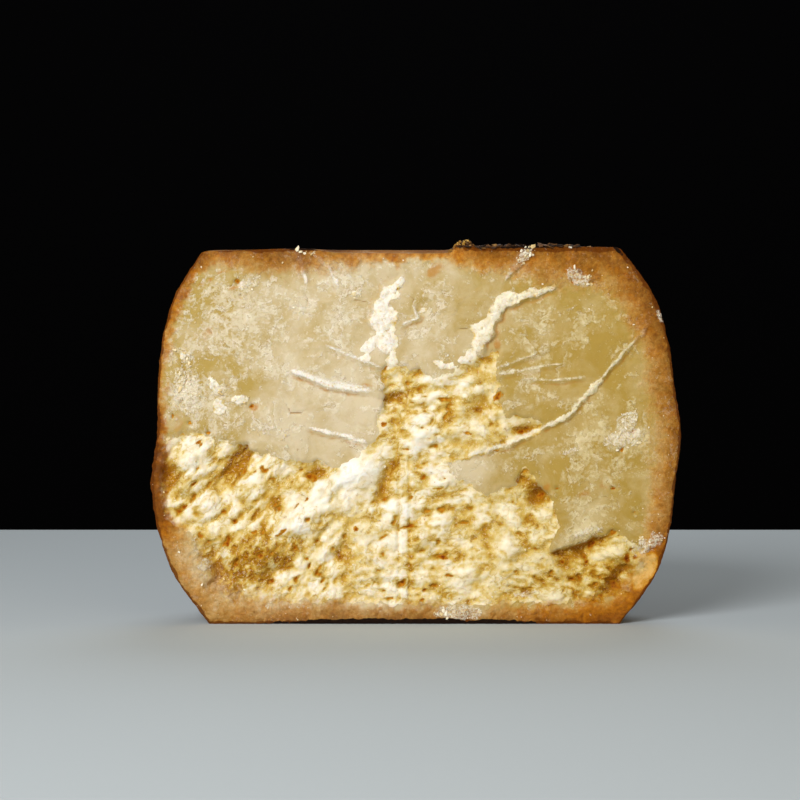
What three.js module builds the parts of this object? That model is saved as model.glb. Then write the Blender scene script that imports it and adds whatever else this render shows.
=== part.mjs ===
// Half a wheel of aged pecorino, standing on its flat base with the broken cut towards -Y.
// Millimetres, +X to the right of the cut, +Y into the cheese, +Z up.
// The wheel has flat faces, sloping shoulders and a soft belly. A knife opened it from both sides and
// left smooth facets with stepped edges. Between and below them the paste tore, and shows crumb.

import * as THREE from "three";

// Driving dimensions.
const wheelHeight = 126.8; // base to the top face
const stationGap = 16; // height between the stations of the two profiles below
const leftProfile = [69.6, 81.2, 86.9, 89.2, 87.2, 86.9, 85.4, 80.9, 71.2]; // half widths of the cut,
const rightProfile = [69.2, 81.1, 86.2, 88, 90, 87.9, 85.5, 80.1, 68.2]; // each from the base up
const cornerRadius = 1.2; // where the top face turns into the shoulder
const rindBand = 6; // firm, smooth paste just inside the rind
const tearDepth = 1.7; // how far the torn crumb lies behind the knife's plane, on average

// How finely the surface is laid out.
const faceColumns = 84; // across the cut
const rindColumns = 17; // round the half wheel
const sideRows = 52; // base to top
const capRings = [0.97, 0.9, 0.5]; // shares of the outline, on the base and the top face

// Height of the top face along the cut, above or below wheelHeight.
const topEdge = [
  [-72, -0.8],
  [-38, 0.2],
  [-25, -1.4],
  [9, -1.6],
  [20, 0.3],
  [40, 1],
  [68, 0.6],
];

// The torn area of the cut, [x, z]. The rest was left smooth by the knife.
const tornArea = [
  [-92, 60], [-79, 65], [-64, 62], [-48, 56], [-27, 53.5], [-18, 56.5], [-12.5, 65],
  [-10.5, 77], [-12, 86], [-2, 87], [8, 82.5], [17, 88.5], [28, 92], [27.5, 78],
  [31, 69.5], [44, 68], [43, 64.5], [31, 60], [11, 54.5], [16, 48], [24, 44],
  [34, 47.5], [36.5, 53], [40.5, 48], [48.5, 39], [46.5, 26], [59, 31], [66, 31.5],
  [79, 24], [76, 9], [60, 7], [0, 6.5], [-60, 7.5], [-71, 12], [-75, 30], [-92, 38],
];

// Edges of the knife facets. The surface drops on the side that falls names, seen along the path.
// The drop is spread over width, comes back over reach, and starts at a raised lip.
const facetEdges = [
  { falls: "right", drop: 3, width: 3.5, reach: 22, lip: 0.6,
    path: [[10, 83], [16, 88], [22, 98], [29, 108], [43, 112], [54, 118]] },
  { falls: "left", drop: 2.4, width: 5, reach: 28, lip: 0.3,
    path: [[-8, 86], [-10, 93], [-11.5, 105], [-9, 112], [-1, 119]] },
  { falls: "right", drop: 2.4, width: 1.6, reach: 20, lip: 0.9,
    path: [[9, 54.5], [31, 60.5], [51, 70], [64, 84], [83, 106]] },
  { falls: "right", drop: 1.4, width: 1.6, reach: 9, lip: 0.5,
    path: [[-44, 86.2], [-37, 84], [-29, 80.8], [-10, 78]] },
  { falls: "right", drop: 0.8, width: 1.6, reach: 7, lip: 0.3,
    path: [[-33, 95.2], [-19, 89.5], [-10, 86]] },
  { falls: "right", drop: 1, width: 1.6, reach: 8, lip: 0.4,
    path: [[-39, 66.8], [-24, 63.5], [-14, 60.6]] },
  { falls: "right", drop: 0.9, width: 1.5, reach: 7, lip: 0.5,
    path: [[33, 82.8], [47, 82.3], [61, 83.6]] },
  { falls: "right", drop: 0.7, width: 1.5, reach: 5, lip: 0.3,
    path: [[26, 84], [38, 86], [54, 88.8]] },
  { falls: "right", drop: 0.7, width: 1.5, reach: 6, lip: 0.2,
    path: [[26, 85.6], [36, 89.5], [48, 94]] },
  { falls: "right", drop: 1, width: 1.4, reach: 7, lip: 0.2,
    path: [[-6, 100.6], [1.4, 103.3], [-1.4, 109]] },
  { falls: "right", drop: 3, width: 2, reach: 9, lip: 0.6,
    path: [[45, 25.4], [55, 29.4], [68, 32.4]] },
  { falls: "right", drop: 0.8, width: 1.6, reach: 6, lip: 0.4,
    path: [[-36, 113], [-38.5, 122], [-39.5, 127]] },
  { falls: "right", drop: 0.8, width: 1.6, reach: 8, lip: 0.3,
    path: [[29.5, 114], [33, 118], [36, 121.5]] },
];

// Hollows in the tear, and mounds where the crumb stands proud. Angles are in degrees.
const hollows = [
  { x: -60.5, z: 54, length: 10, width: 5, angle: 50, depth: 4.5 },
  { x: -10, z: 48, length: 10, width: 4, angle: 70, depth: 4 },
  { x: -67, z: 19.5, length: 10, width: 3.4, angle: -80, depth: 4 },
  { x: -33, z: 50, length: 6, width: 3, angle: 10, depth: 3.4 },
  { x: 42, z: 43.5, length: 7, width: 4, angle: 60, depth: 5 },
  { x: 58, z: 26, length: 6, width: 3, angle: 30, depth: 3 },
  { x: 68, z: 14, length: 7, width: 3.4, angle: 55, depth: 5 },
  { x: -7, z: 75.5, length: 6, width: 4.5, angle: 5, depth: 3.4 },
  { x: 37, z: 65.5, length: 7, width: 2.4, angle: 8, depth: 3.4 },
  { x: 16, z: 84, length: 7, width: 3, angle: 35, depth: 2.6 },
  { x: 22, z: 72, length: 7, width: 3.4, angle: 40, depth: 2.6 },
  { x: -26, z: 23, length: 10, width: 3.4, angle: 40, depth: 3 },
  { x: -83, z: 50, length: 8, width: 4, angle: 80, depth: 3 },
  { x: -49, z: 16, length: 12, width: 4, angle: 35, depth: 2.4 },
];
const mounds = [
  { x: -19, z: 52, length: 11, width: 5, angle: 20, depth: 3 },
  { x: -36, z: 38, length: 18, width: 7, angle: 38, depth: 2.6 },
  { x: -75, z: 54, length: 9, width: 4.5, angle: 55, depth: 2.2 },
  { x: 8, z: 47, length: 10, width: 5, angle: 20, depth: 2.2 },
  { x: 30, z: 24, length: 8, width: 6, angle: 60, depth: 2.2 },
  { x: 4, z: 64, length: 12, width: 4.5, angle: 12, depth: 2 },
  { x: 20, z: 92, length: 6, width: 3.5, angle: 60, depth: 2 },
  { x: -49, z: 28, length: 7, width: 5, angle: 60, depth: 1.8 },
];

// Raised strip down the middle of the tear, where the two sides of the break met.
const seam = { x: -4.2, top: 60, halfWidth: 2.4, height: 1 };

// Place on the rind, low on the right, where a flake of it broke away.
const chip = { x: 78, z: 17.5, length: 9, width: 4, angle: 60, depth: 2 };

// Ragged crust that stands up along the top of the cut, and the curled scrap at its left end.
const crust = { from: 14, to: 56, height: 1 };
const scrap = { x: 16, halfWidth: 4.2, height: 3 };

// Repeatable noise: a gradient at each corner of a unit grid, joined smoothly.
function cornerAngle(column, row, seed) {
  let bits = Math.imul(column, 374761393) + Math.imul(row, 668265263) + Math.imul(seed, 1442695041);
  bits = Math.imul(bits ^ (bits >>> 13), 1274126177);
  return (((bits ^ (bits >>> 16)) >>> 0) / 4294967296) * 2 * Math.PI;
}

function noise(x, y, seed) {
  const column = Math.floor(x);
  const row = Math.floor(y);
  const across = x - column;
  const up = y - row;
  const ease = (t) => t * t * t * (t * (6 * t - 15) + 10);
  const slope = (i, j) => {
    const angle = cornerAngle(column + i, row + j, seed);
    return Math.cos(angle) * (across - i) + Math.sin(angle) * (up - j);
  };
  const low = THREE.MathUtils.lerp(slope(0, 0), slope(1, 0), ease(across));
  const high = THREE.MathUtils.lerp(slope(0, 1), slope(1, 1), ease(across));
  return 1.4 * THREE.MathUtils.lerp(low, high, ease(up));
}

// Value at a height, on a smooth curve through evenly spaced stations.
function atHeight(stations, height) {
  const place = Math.min(height / stationGap, stations.length - 1.001);
  const i = Math.floor(place);
  const t = place - i;
  const before = stations[i - 1] ?? 2 * stations[i] - stations[i + 1];
  const after = stations[i + 2] ?? 2 * stations[i + 1] - stations[i];
  const startSlope = (stations[i + 1] - before) / 2;
  const endSlope = (after - stations[i]) / 2;
  const change = stations[i + 1] - stations[i];
  return stations[i] + t * (startSlope + t * (3 * change - 2 * startSlope - endSlope
    + t * (startSlope + endSlope - 2 * change)));
}

// Distance from a point to a path, the side it is on (positive to the right of the path as it
// runs), and how far along the path the nearest point lies, from 0 to 1.
function nearestOnPath(path, x, z, closed = false) {
  const last = closed ? path.length : path.length - 1;
  let best = { distance: Infinity, side: 1, share: 0 };
  for (let i = 0; i < last; i++) {
    const [startX, startZ] = path[i];
    const [endX, endZ] = path[(i + 1) % path.length];
    const runX = endX - startX;
    const runZ = endZ - startZ;
    const along = (x - startX) * runX + (z - startZ) * runZ;
    const t = THREE.MathUtils.clamp(along / (runX * runX + runZ * runZ), 0, 1);
    const offX = x - startX - t * runX;
    const offZ = z - startZ - t * runZ;
    const distance = Math.hypot(offX, offZ);
    if (distance < best.distance) {
      best = { distance, side: Math.sign(runZ * offX - runX * offZ) || 1, share: (i + t) / last };
    }
  }
  return best;
}

function isInside(outline, x, z) {
  let inside = false;
  outline.forEach(([x1, z1], i) => {
    const [x2, z2] = outline[(i + 1) % outline.length];
    if (z1 > z !== z2 > z && x < x1 + ((z - z1) / (z2 - z1)) * (x2 - x1)) inside = !inside;
  });
  return inside;
}

// Depth at the middle of a long, soft-edged spot, fading to nothing outwards.
function spot({ x: middleX, z: middleZ, length, width, angle, depth }, x, z) {
  const turn = THREE.MathUtils.degToRad(angle);
  const along = ((x - middleX) * Math.cos(turn) + (z - middleZ) * Math.sin(turn)) / length;
  const over = ((z - middleZ) * Math.cos(turn) - (x - middleX) * Math.sin(turn)) / width;
  return depth * Math.exp(-1.6 * (along * along + over * over));
}

// From 0 on a knife facet to 1 on torn crumb, with an uneven border.
function tornShare(x, z) {
  const { distance } = nearestOnPath(tornArea, x, z, true);
  const inwards = (isInside(tornArea, x, z) ? distance : -distance) + 1.8 * noise(x / 6, z / 6, 3);
  return THREE.MathUtils.smoothstep(inwards, -1, 1.5);
}

// Lumps of crumb with creases between them. Their grain rises to the right on the left of the
// tear, lies nearly level in the middle, and falls slightly on the right.
function crumbRelief(x, z) {
  const left = THREE.MathUtils.smoothstep(-x, 5, 35);
  const right = THREE.MathUtils.smoothstep(x, 5, 40);
  const lumps = (size, stretch, degrees, seed) => {
    const turn = THREE.MathUtils.degToRad(degrees);
    const along = x * Math.cos(turn) + z * Math.sin(turn);
    const over = z * Math.cos(turn) - x * Math.sin(turn);
    return Math.abs(noise(along / (size * stretch), over / size, seed));
  };
  const layer = (size, stretch, seed) =>
    left * lumps(size, stretch, 42, seed) +
    (1 - left - right) * lumps(size, stretch, 6, seed + 20) +
    right * lumps(size, stretch, -14, seed + 40);
  return 6 * layer(11, 1.6, 5) + 3.4 * layer(6, 1.4, 6) - 2.4;
}

function facetDepth(x, z) {
  let depth = 0.7 * noise(x / 34, z / 34, 8) + 0.2 * noise(x / 10, z / 14, 9);
  for (const { path, falls, drop, width, reach, lip } of facetEdges) {
    const { distance, side, share } = nearestOnPath(path, x, z);
    const taper = THREE.MathUtils.smoothstep(Math.min(share, 1 - share), 0, 0.25);
    const past = distance * side * (falls === "right" ? 1 : -1);
    const fallen = THREE.MathUtils.smoothstep(past, -0.3 * width, 0.7 * width);
    const remaining = Math.exp(-Math.max(0, past - width) / reach);
    depth += taper * (drop * fallen * remaining - lip * Math.exp(-((past / 1.8) ** 2)));
  }
  return depth;
}

// How far the cut surface lies behind the knife's plane. edge is the distance to the rind.
function cutDepth(x, z, edge) {
  const onSeam = Math.exp(-(((x - seam.x) / seam.halfWidth) ** 2))
    * THREE.MathUtils.smoothstep(seam.top - z, 0, 8);
  let crumb = tearDepth - crumbRelief(x, z);
  for (const hollow of hollows) crumb += spot(hollow, x, z);
  for (const mound of mounds) crumb -= spot(mound, x, z);
  crumb = THREE.MathUtils.lerp(crumb, tearDepth - seam.height, 0.6 * onSeam);
  const torn = tornShare(x, z) * THREE.MathUtils.smoothstep(edge, rindBand * 0.3, rindBand);
  return facetDepth(x, z) + torn * crumb + spot(chip, x, z) + 0.8 * Math.exp(-edge / 1.5);
}

function topOffset(x) {
  const next = topEdge.findIndex(([stationX]) => stationX > x);
  if (next < 0) return topEdge.at(-1)[1];
  if (next === 0) return topEdge[0][1];
  const [x1, low] = topEdge[next - 1];
  const [x2, high] = topEdge[next];
  return THREE.MathUtils.lerp(low, high, THREE.MathUtils.smoothstep(x, x1, x2));
}

// Height that the crust and its curled scrap add along the top of the cut.
function crustHeight(x) {
  const along = THREE.MathUtils.smoothstep(x, crust.from, crust.from + 3)
    * THREE.MathUtils.smoothstep(crust.to - x, 0, 3);
  const lump = Math.max(0, 1 - ((x - scrap.x) / scrap.halfWidth) ** 2);
  return along * crust.height * (0.5 + 0.9 * Math.abs(noise(x / 4.5, 0.5, 11))) + lump * scrap.height;
}

// One closed outline of the half wheel, counterclockwise from above: along the cut, then round the
// rind and back.
function outlineAt(height) {
  const corner = Math.max(0, height - wheelHeight + cornerRadius);
  const rounded = cornerRadius - Math.sqrt(cornerRadius ** 2 - corner ** 2);
  const left = atHeight(leftProfile, height) - rounded;
  const right = atHeight(rightProfile, height) - rounded;
  const lift = THREE.MathUtils.smoothstep(height, 0.75 * wheelHeight, wheelHeight);
  const outline = [];
  for (let i = 0; i <= faceColumns; i++) {
    const x = THREE.MathUtils.lerp(-left, right, i / faceColumns);
    const side = Math.min(x + left, right - x);
    const edge = Math.min(side, 0.8 * height, 0.8 * (wheelHeight - height));
    const crest = height > wheelHeight - 0.1 ? crustHeight(x) : 0;
    outline.push(new THREE.Vector3(x, cutDepth(x, height, edge), height + lift * topOffset(x) + crest));
  }
  for (let i = 1; i < rindColumns; i++) {
    const turn = (i / rindColumns) * Math.PI;
    const uneven = 1.2 * noise(turn * 4, height / 20, 13) + 0.5 * noise(turn * 9, height / 9, 14);
    const firm = Math.min(1, height / 6, (wheelHeight - height) / 6) * Math.sin(turn) ** 0.5;
    const even = THREE.MathUtils.lerp(right, left, THREE.MathUtils.smoothstep(turn, 0, Math.PI));
    const radius = even + firm * uneven;
    const x = radius * Math.cos(turn);
    outline.push(new THREE.Vector3(x, radius * Math.sin(turn), height + lift * topOffset(x)));
  }
  return outline;
}

// Smaller copies of an outline, towards the middle of the flat face at its height. What stands up
// at its edge sinks away on the way in.
function ringsInside(outline, middle) {
  return capRings.map((share) =>
    outline.map((corner) => {
      const offset = corner.clone().sub(middle);
      return new THREE.Vector3(offset.x * share, offset.y * share, offset.z * share ** 18).add(middle);
    }),
  );
}

// Skins a stack of closed outlines, with a middle point at each end.
function skinOutlines(outlines, firstMiddle, lastMiddle) {
  const count = outlines[0].length;
  const points = [firstMiddle, ...outlines.flat(), lastMiddle];
  const index = [];
  const place = (row, column) => 1 + row * count + (column % count);
  for (let column = 0; column < count; column++) {
    index.push(0, place(0, column + 1), place(0, column));
    index.push(points.length - 1, place(outlines.length - 1, column), place(outlines.length - 1, column + 1));
    for (let row = 0; row < outlines.length - 1; row++) {
      const low = [place(row, column), place(row, column + 1)];
      const high = [place(row + 1, column), place(row + 1, column + 1)];
      const rising = points[low[0]].distanceTo(points[high[1]]);
      const falling = points[low[1]].distanceTo(points[high[0]]);
      if (rising < falling) index.push(low[0], low[1], high[1], low[0], high[1], high[0]);
      else index.push(low[0], low[1], high[0], low[1], high[1], high[0]);
    }
  }
  return new THREE.BufferGeometry().setFromPoints(points).setIndex(index);
}

function cheeseGeometry() {
  const sides = [];
  for (let row = 0; row <= sideRows; row++) {
    const share = row / sideRows;
    const closerAtEnds = share - 0.05 * Math.sin(2 * Math.PI * share);
    sides.push(outlineAt(wheelHeight * closerAtEnds));
  }
  const baseMiddle = new THREE.Vector3(0, 0.42 * leftProfile[0], 0);
  const topMiddle = new THREE.Vector3(0, 0.42 * leftProfile[0], wheelHeight);
  const baseRings = ringsInside(sides[0], baseMiddle).reverse();
  const topRings = ringsInside(sides.at(-1), topMiddle);
  const geometry = skinOutlines([...baseRings, ...sides, ...topRings], baseMiddle, topMiddle);
  geometry.computeVertexNormals();
  geometry.computeBoundingBox();
  const { min, max } = geometry.boundingBox;
  return geometry.translate(-(min.x + max.x) / 2, -(min.y + max.y) / 2, -min.z);
}

const paste = new THREE.MeshStandardMaterial({ color: 0xdcc894, roughness: 0.62, metalness: 0 });
const chunk = new THREE.Mesh(cheeseGeometry(), paste);
chunk.name = "cheese_chunk";

const model = new THREE.Group();
model.add(chunk);

export default model;
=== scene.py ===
# Half a wheel of aged pecorino on its flat base, broken cut towards -Y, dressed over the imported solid.
import math

import bmesh
import bpy
import numpy as np
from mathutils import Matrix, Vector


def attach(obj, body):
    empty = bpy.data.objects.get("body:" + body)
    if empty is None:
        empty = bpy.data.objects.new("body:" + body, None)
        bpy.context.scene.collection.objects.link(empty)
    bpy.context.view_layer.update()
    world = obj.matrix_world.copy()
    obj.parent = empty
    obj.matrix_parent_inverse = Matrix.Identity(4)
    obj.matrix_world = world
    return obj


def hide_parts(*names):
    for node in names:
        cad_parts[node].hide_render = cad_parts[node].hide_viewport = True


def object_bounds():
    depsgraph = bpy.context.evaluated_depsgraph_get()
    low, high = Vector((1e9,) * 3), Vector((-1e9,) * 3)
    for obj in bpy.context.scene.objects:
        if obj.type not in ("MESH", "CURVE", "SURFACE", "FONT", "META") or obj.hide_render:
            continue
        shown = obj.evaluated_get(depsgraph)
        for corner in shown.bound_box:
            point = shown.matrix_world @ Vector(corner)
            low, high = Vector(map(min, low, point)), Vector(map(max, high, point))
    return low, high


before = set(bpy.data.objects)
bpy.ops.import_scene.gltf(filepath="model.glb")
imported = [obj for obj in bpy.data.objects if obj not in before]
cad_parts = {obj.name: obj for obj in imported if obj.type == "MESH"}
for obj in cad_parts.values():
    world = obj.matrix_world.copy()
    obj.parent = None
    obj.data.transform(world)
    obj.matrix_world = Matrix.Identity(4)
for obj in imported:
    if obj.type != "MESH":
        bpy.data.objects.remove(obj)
solidLow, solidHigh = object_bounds()
mm = 0.001

# The wheel, in millimetres: x right along the cut, y into the cheese and z up, from the middle of the
# cut's foot. Places on the cut are (x, z, half length, half width, angle in degrees, strength).
wheel = {
    "height": 126.8,
    "stationGap": 16,  # height between the stations of the two profiles
    "leftProfile": [69.6, 81.2, 86.9, 89.2, 87.2, 86.9, 85.4, 80.9, 71.2],  # half widths, base up
    "rightProfile": [69.2, 81.1, 86.2, 88, 90, 87.9, 85.5, 80.1, 68.2],
    "cornerRadius": 1.2,
    "topEdge": [(-72, -0.8), (-38, 0.2), (-25, -1.4), (9, -1.6), (20, 0.3), (40, 1), (68, 0.6)],
    "rimWobble": 0.5,  # roughness of the rim, where rind meets cut
    "roughSide": 1.1,  # how much rougher it is at the widest part of the left side
    "roughMiddle": 50,
    "roughReach": 16,
    # (height, how often round the side, distance up, seed)
    "rindBumps": [(1.2, 4, 20, 13), (0.5, 9, 9, 14), (0.3, 26, 3, 15)],
    "faceColumns": 344,  # across the cut
    "rindColumns": 56,  # round the half wheel
    "rows": 232,  # base to top
    "rowCrowding": 0.05,  # how much closer the rows are at the base and the top
    "middleRadius": 88,  # of the rind, where it is laid out flat
    "capMiddle": 0.42,  # how far back the flat faces meet in a point, as a share of their half width
    "capRings": [0.985, 0.95, 0.85, 0.6, 0.3],
}

# The torn part of the cut. The rest was left smooth by the knife.
tear = {
    "outline": [
        (-92, 60), (-79, 65), (-64, 62), (-48, 56), (-27, 53.5), (-18, 56.5), (-12.5, 65),
        (-10.5, 77), (-12, 86), (-2, 87), (8, 82.5), (17, 88.5), (28, 92), (27.5, 78), (31, 69.5),
        (44, 68), (43, 64.5), (31, 60), (11, 54.5), (16, 48), (24, 44), (34, 47.5), (36.5, 53),
        (40.5, 48), (48.5, 39), (46, 25), (54, 27), (60, 29.2), (67, 31), (79, 24), (76, 9),
        (60, 7), (0, 6.5), (-60, 7.5), (-71, 12), (-75, 30), (-92, 38),
    ],
    "edgeWidth": 1.4,  # over which it turns into a facet
    "softEdges": [(15, 51, 9, 7, 0, 3)],  # where the turn is wider
    "rindBand": 5,  # firm paste inside the rind, where it didn't tear
    "depth": 0.6,
    "ledge": 1.3,  # height of the small broken ledges in it
    "leftGrain": 42,  # direction of the lumps, in degrees above level
    "middleGrain": 6,
    "rightGrain": -14,
    # (size, how much longer along the grain, seed, height)
    "lumpSizes": [(11, 1.6, 5, 2.4), (6, 1.6, 6, 1.6), (3.1, 1.7, 43, 0.55), (1.6, 1.5, 44, 0.2)],
    "fibre": (1.9, 2.4, 59, 0.15),
    # The same for its holes, which open where this grain is lower than the level given.
    "holes": [(2.6, 2.0, 87, 0.7), (1.3, 1.8, 88, 0.55), (0.8, 1.6, 89, 0.3)],
    "holeLevel": 0.5,
    "holeDepth": 1.2,
    # Here the last number is a depth or a height in millimetres.
    "hollows": [
        (-60.5, 54, 10, 5, 50, 3.6), (-10, 48, 9, 3.2, 75, 3), (-67, 19.5, 10, 3.4, -80, 4),
        (-33, 50.5, 6, 2.4, 5, 3.4), (42, 43.5, 5, 3.4, 60, 4.5), (58, 26, 6, 3, 30, 3),
        (68, 14, 7, 3.4, 55, 5), (-7, 75.5, 6, 4.5, 5, 2.4), (37, 65.5, 7, 2.4, 8, 3.4),
        (16, 84, 7, 3, 35, 2.2), (22, 72, 7, 3.4, 40, 2.2), (-26, 23, 10, 3.4, 40, 2.4),
        (-83, 50, 8, 4, 80, 3), (-49, 16, 12, 4, 35, 2.2),
    ],
    "mounds": [
        (-19, 52, 11, 5, 20, 3), (-36, 38, 18, 7, 38, 2.6), (-75, 54, 9, 4.5, 55, 2.2),
        (8, 47, 10, 5, 20, 2.2), (30, 24, 8, 6, 60, 2.2), (4, 64, 12, 4.5, 12, 2),
        (20, 92, 6, 3.5, 60, 2), (-49, 28, 7, 5, 60, 1.8), (16, 16, 9, 4.5, 38, 1.4),
    ],
    "smoothPlaces": [
        (16, 15, 8, 4, 38, 0.8), (-21, 42, 10, 2.4, 40, 0.5), (24, 55.5, 8, 2.4, 12, 0.7),
    ],
    "seam": {"x": -3.8, "top": 66, "halfWidth": 1.6, "share": 0.5, "gap": 0.4, "gapDepth": 0.8},
    "chip": (78, 17.5, 9, 4, 60, 2),
}

# Stepped edges of the knife's facets: (path, 1 where the right of the path is the low side or -1 where
# its left is, drop, distance over which the drop fades, width of the white strip at the path's start and
# at its end, height of the strip, its whiteness, how crumbly it is).
facetEdges = [
    ([(18.4, 88), (21.4, 94), (23.5, 99), (26.3, 103.5), (29.5, 108.6), (38, 110.8), (46, 113.4),
      (54, 118.5)], 1, 1.1, 22, 6, 1.2, 0.2, 0.92, 0.9),
    ([(-1.8, 120), (-5.5, 115.5), (-9.7, 111.3), (-12, 107), (-11, 101), (-9.8, 95), (-9, 88)], 1,
     0.7, 28, 2, 8.5, 0.2, 1.05, 0.9),
    ([(9, 54.5), (31, 60.5), (51, 70), (64, 84), (83, 106)], 1, 1, 20, 1.3, 0.5, 0.2, 1, 0.6),
    ([(-44, 86.2), (-37, 84), (-29, 80.8), (-10, 78)], 1, 1.1, 9, 0.9, 2.4, 0.1, 0.95, 0),
    ([(-33, 95.2), (-19, 89.5), (-10, 86)], 1, 0.7, 7, 0.8, 0.5, 0.1, 0.8, 0),
    ([(-39, 66.8), (-24, 63.5), (-14, 60.6)], 1, 0.9, 8, 0.6, 1.4, 0.2, 1, 0.4),
    ([(33, 82.8), (47, 82.3), (61, 83.6)], 1, 0.8, 7, 0.5, 0.8, 0.15, 0.8, 0.3),
    ([(26, 84), (38, 86), (54, 88.8)], 1, 0.7, 5, 1.4, 0.2, 0.1, 0.76, 0.3),
    ([(26, 85.6), (36, 89.5), (48, 94)], 1, 0.7, 6, 1.2, 0.2, 0.1, 0.68, 0.3),
    ([(-6, 100.6), (1.4, 103.3), (-1.4, 109)], 1, 0.8, 7, 0.5, 0.5, 0.1, 0.75, 0),
    ([(44.5, 24.4), (50, 26.2), (55, 27.6), (61, 29.8), (68, 31.4)], 1, 2, 7, 0.9, 0.5, 0, 0.4,
     0.2),
    ([(-36, 113), (-38.5, 122), (-39.8, 127.4)], 1, 0.7, 6, 0.6, 1.4, 0.25, 1, 0.2),
    ([(-24.5, 111), (-29, 120), (-34, 126)], -1, 0.7, 6, 0.8, 1.6, 0.2, 0.8, 0.6),
    ([(29, 114.5), (33.5, 120), (37, 124), (40, 127.4)], 1, 0.8, 8, 0.4, 4.5, 0.3, 1, 0.4),
]
edgeLook = {
    "taper": 0.2,  # share of the path over which both ends run out
    "stepEnd": 1.2,  # past the strip, where the whole drop is reached
    "fadeAbove": 0.38,  # how fast the strip fades on either side
    "fadeBelow": 0.58,
    "shadeAt": 1.1,
    "shadeWidth": 0.7,
}

# White crumbly lumps that stand on the facets. The last number is their height.
facetLumps = [
    (-15.5, 93, 5.4, 3.2, 62, 0.6), (-8.5, 104.5, 4, 3, 20, 0.3), (-9, 97, 6, 4, 80, 0.4),
    (-8, 89, 5, 3, 70, 0.3), (23, 97, 7, 4, 62, 0.7), (18, 90, 5, 3.2, 40, 0.5),
    (30, 108.5, 5, 3.4, 40, 0.5), (39, 111.6, 6, 2, 18, 0.3), (10, 87.4, 6, 2, -10, 0.3),
    (77.5, 98.5, 3, 1.1, 55, 0.4), (60.5, 79.5, 5, 1.6, 50, 0.4), (49, 69, 5, 1.5, 35, 0.4),
    (-78.5, 90, 1.6, 2.4, 0, 0.4), (-68, 80.5, 4.4, 2.6, 130, 0.3),
    (-59.5, 75.8, 3.6, 1.9, -15, 0.5), (-19.8, 112, 1, 2.6, 60, 0.4), (-66, 73, 3, 4, 0, 0.15),
    (3, 106, 2.6, 1, 15, 0.1),
]

# Where the facets are flaky rather than waxy, and where the paste is paler than round it.
flakyPlaces = [
    (-58, 102, 30, 20, 0, 1), (-70, 76, 16, 18, 0, 1.1), (-26, 106, 14, 16, 0, 0.9),
    (-42, 84, 20, 8, -20, 0.6), (42, 100, 20, 12, 0, 0.8), (66, 62, 20, 14, 20, 1.1),
    (36, 119, 26, 6, 0, 0.6), (60, 40, 12, 8, 0, 0.8), (8, 108, 10, 6, 0, 0.5),
    (10, 92, 9, 5, 0, 0.5), (58, 33, 9, 4, 30, 1.7),
]
ripePlaces = [(-20, 68, 36, 20, 0, -0.4), (57, 33, 11, 5, 35, -0.6), (17, 52, 9, 5, 0, -0.6)]

# Hairline cracks in the facets, and how strongly each one shows.
cracks = [
    ([(-44, 75.3), (-42, 71.3), (-36, 71.8)], 0.8), ([(-50, 97), (-45.6, 91.8)], 0.5),
    ([(-38, 113), (-36, 109), (-37, 106)], 0.7), ([(-3, 112), (-0.4, 109.6), (-1.6, 106)], 0.6),
    ([(12.5, 103.6), (17, 109.6), (22, 115)], 0.4), ([(13.6, 99.6), (19, 100)], 0.6),
    ([(-22, 110), (-13.6, 108)], 0.6), ([(-80, 90), (-77, 84), (-78, 78)], 0.7),
    ([(-72, 112), (-66, 115), (-60, 113.6)], 0.5), ([(62, 44), (66, 42), (67, 38)], 0.6),
    ([(40, 101), (48, 103.4)], 0.4), ([(-68, 100), (-62, 96), (-58, 97.6)], 0.5),
    ([(-63, 78), (-55, 72.6), (-51, 72)], 0.5), ([(70, 86), (76, 93)], 0.5),
]

# White, dusty or granular places.
chalkPlaces = [
    (-77, 79, 15, 8, 95, 0.9), (-66, 79, 4, 2.5, 30, 1.2), (-58.5, 75.5, 3.4, 2, 30, 1.3),
    (-50, 66, 24, 7, -8, 0.6), (-56, 115, 9, 4, 20, 0.7), (-39, 107, 13, 5, -20, 0.6),
    (-19.5, 112, 3, 1.6, 60, 1.2), (55, 117, 8, 4.5, -30, 0.9), (71, 63, 13, 6, 20, 0.9),
    (72, 69, 7, 4, 30, 1.1), (52, 58, 11, 4, 20, 0.6), (79, 27, 10, 5, 30, 0.9),
    (57, 31.4, 8, 2.4, 20, 0.8), (15, 4, 11, 4, 0, 1.3), (38, 10, 11, 3, 5, 0.7),
    (-71, 20, 4, 3, 0, 1.1), (13, 106, 9, 6, 30, 0.45), (11, 91, 8, 4, 0, 0.6),
    (55, 106, 12, 6, 0, 0.5), (37.5, 125, 4, 2.5, 60, 1.4), (-34, 125, 8, 2, 0, 0.6),
    (-82, 92, 7, 3, 90, 0.6), (83, 104, 8, 3, -55, 0.6), (-72, 104, 12, 5, 60, 0.5),
    (-77, 90, 3, 2, 0, 1.2), (62, 32, 6, 2, 0, 0.7), (-80, 26, 10, 3, -65, 0.55),
    (-45, 6, 20, 2.4, 0, 0.6), (59, 3, 8, 1.6, 0, 0.5),
]

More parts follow.
